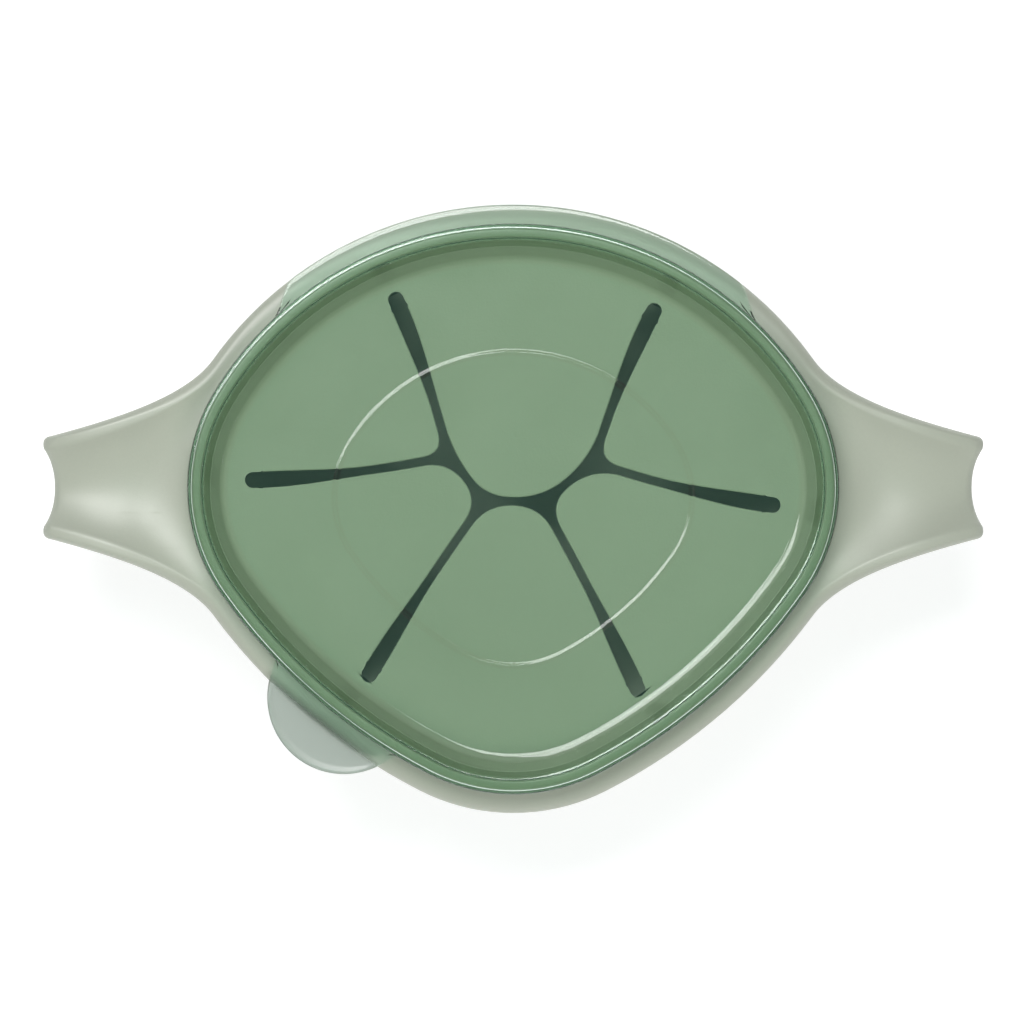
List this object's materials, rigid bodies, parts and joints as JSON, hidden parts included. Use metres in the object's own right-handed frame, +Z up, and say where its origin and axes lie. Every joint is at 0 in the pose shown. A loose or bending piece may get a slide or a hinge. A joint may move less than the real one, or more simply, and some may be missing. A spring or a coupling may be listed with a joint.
{
  "type": "toddler suction bowl",
  "caption": "Egg-shaped feeding bowl with saddle handles, silicone suction base, slit silicone snack lid and a clear cover.",
  "frame": {"origin": "on the table, under the middle of the bowl's overall outline", "axes": "+Z up, +X to the right handle, +Y to the wide back of the egg; the narrow nose and the base's pull tab point to -Y"},
  "size_m": [0.2198, 0.1422, 0.0656],
  "materials": {
    "green_silicone": "soft matt silicone",
    "sage_plastic": "satin moulded plastic",
    "green_plastic": "satin moulded plastic",
    "clear_plastic": "clear, slightly hazy moulded plastic"
  },
  "bodies": {
    "base": {"suction_base": "green_silicone"},
    "tab": {"release_tab": "green_silicone"},
    "bowl": {"bowl": "sage_plastic"},
    "snack_lid": {"lid_frame": "green_plastic", "lid_membrane": "green_silicone"},
    "right_back_petal": {"flap_right_back": "green_silicone"},
    "back_petal": {"flap_back": "green_silicone"},
    "left_back_petal": {"flap_left_back": "green_silicone"},
    "left_front_petal": {"flap_left_front": "green_silicone"},
    "front_petal": {"flap_front": "green_silicone"},
    "right_front_petal": {"flap_right_front": "green_silicone"},
    "cover": {"clear_cover": "clear_plastic"}
  },
  "joints": [
    {"name": "tab_flex", "type": "hinge", "parent": "base", "child": "tab", "pos_m": [0, -0.0483, 0.0032], "axis": [-1, 0, 0], "range_deg": [0, 45], "stiffness_Nm_per_rad": 0.01},
    {"name": "base_release", "type": "slide", "parent": "base", "child": "bowl", "axis": [0, 0, 1], "range_m": [0, 0.03]},
    {"name": "snack_lid_lift", "type": "slide", "parent": "bowl", "child": "snack_lid", "axis": [0, 0, 1], "range_m": [0, 0.06]},
    {"name": "cover_lift", "type": "slide", "parent": "snack_lid", "child": "cover", "axis": [0, 0, 1], "range_m": [0, 0.05]},
    {"name": "flap_right_back_flex", "type": "hinge", "parent": "snack_lid", "child": "right_back_petal", "pos_m": [0.04665, 0.02354, 0.0565], "axis": [0.5223, -0.8528, 0], "range_deg": [0, 55], "stiffness_Nm_per_rad": 0.01, "springref_deg": -6.88},
    {"name": "flap_back_flex", "type": "hinge", "parent": "snack_lid", "child": "back_petal", "pos_m": [0.00273, 0.04747, 0.0565], "axis": [0.999, -0.0436, 0], "range_deg": [0, 55], "stiffness_Nm_per_rad": 0.01, "springref_deg": -6.88},
    {"name": "flap_left_back_flex", "type": "hinge", "parent": "snack_lid", "child": "left_back_petal", "pos_m": [-0.04404, 0.02777, 0.0565], "axis": [0.6221, 0.7829, 0], "range_deg": [0, 55], "stiffness_Nm_per_rad": 0.01, "springref_deg": -6.88},
    {"name": "flap_left_front_flex", "type": "hinge", "parent": "snack_lid", "child": "left_front_petal", "pos_m": [-0.04718, -0.01591, 0.0565], "axis": [-0.5136, 0.858, 0], "range_deg": [0, 55], "stiffness_Nm_per_rad": 0.01, "springref_deg": -6.88},
    {"name": "flap_front_flex", "type": "hinge", "parent": "snack_lid", "child": "front_petal", "pos_m": [-0.0023, -0.04029, 0.0565], "axis": [-0.9985, 0.0546, 0], "range_deg": [0, 55], "stiffness_Nm_per_rad": 0.01, "springref_deg": -6.88},
    {"name": "flap_right_front_flex", "type": "hinge", "parent": "snack_lid", "child": "right_front_petal", "pos_m": [0.04475, -0.02054, 0.0565], "axis": [-0.5915, -0.8063, 0], "range_deg": [0, 55], "stiffness_Nm_per_rad": 0.01, "springref_deg": -6.88}
  ]
}
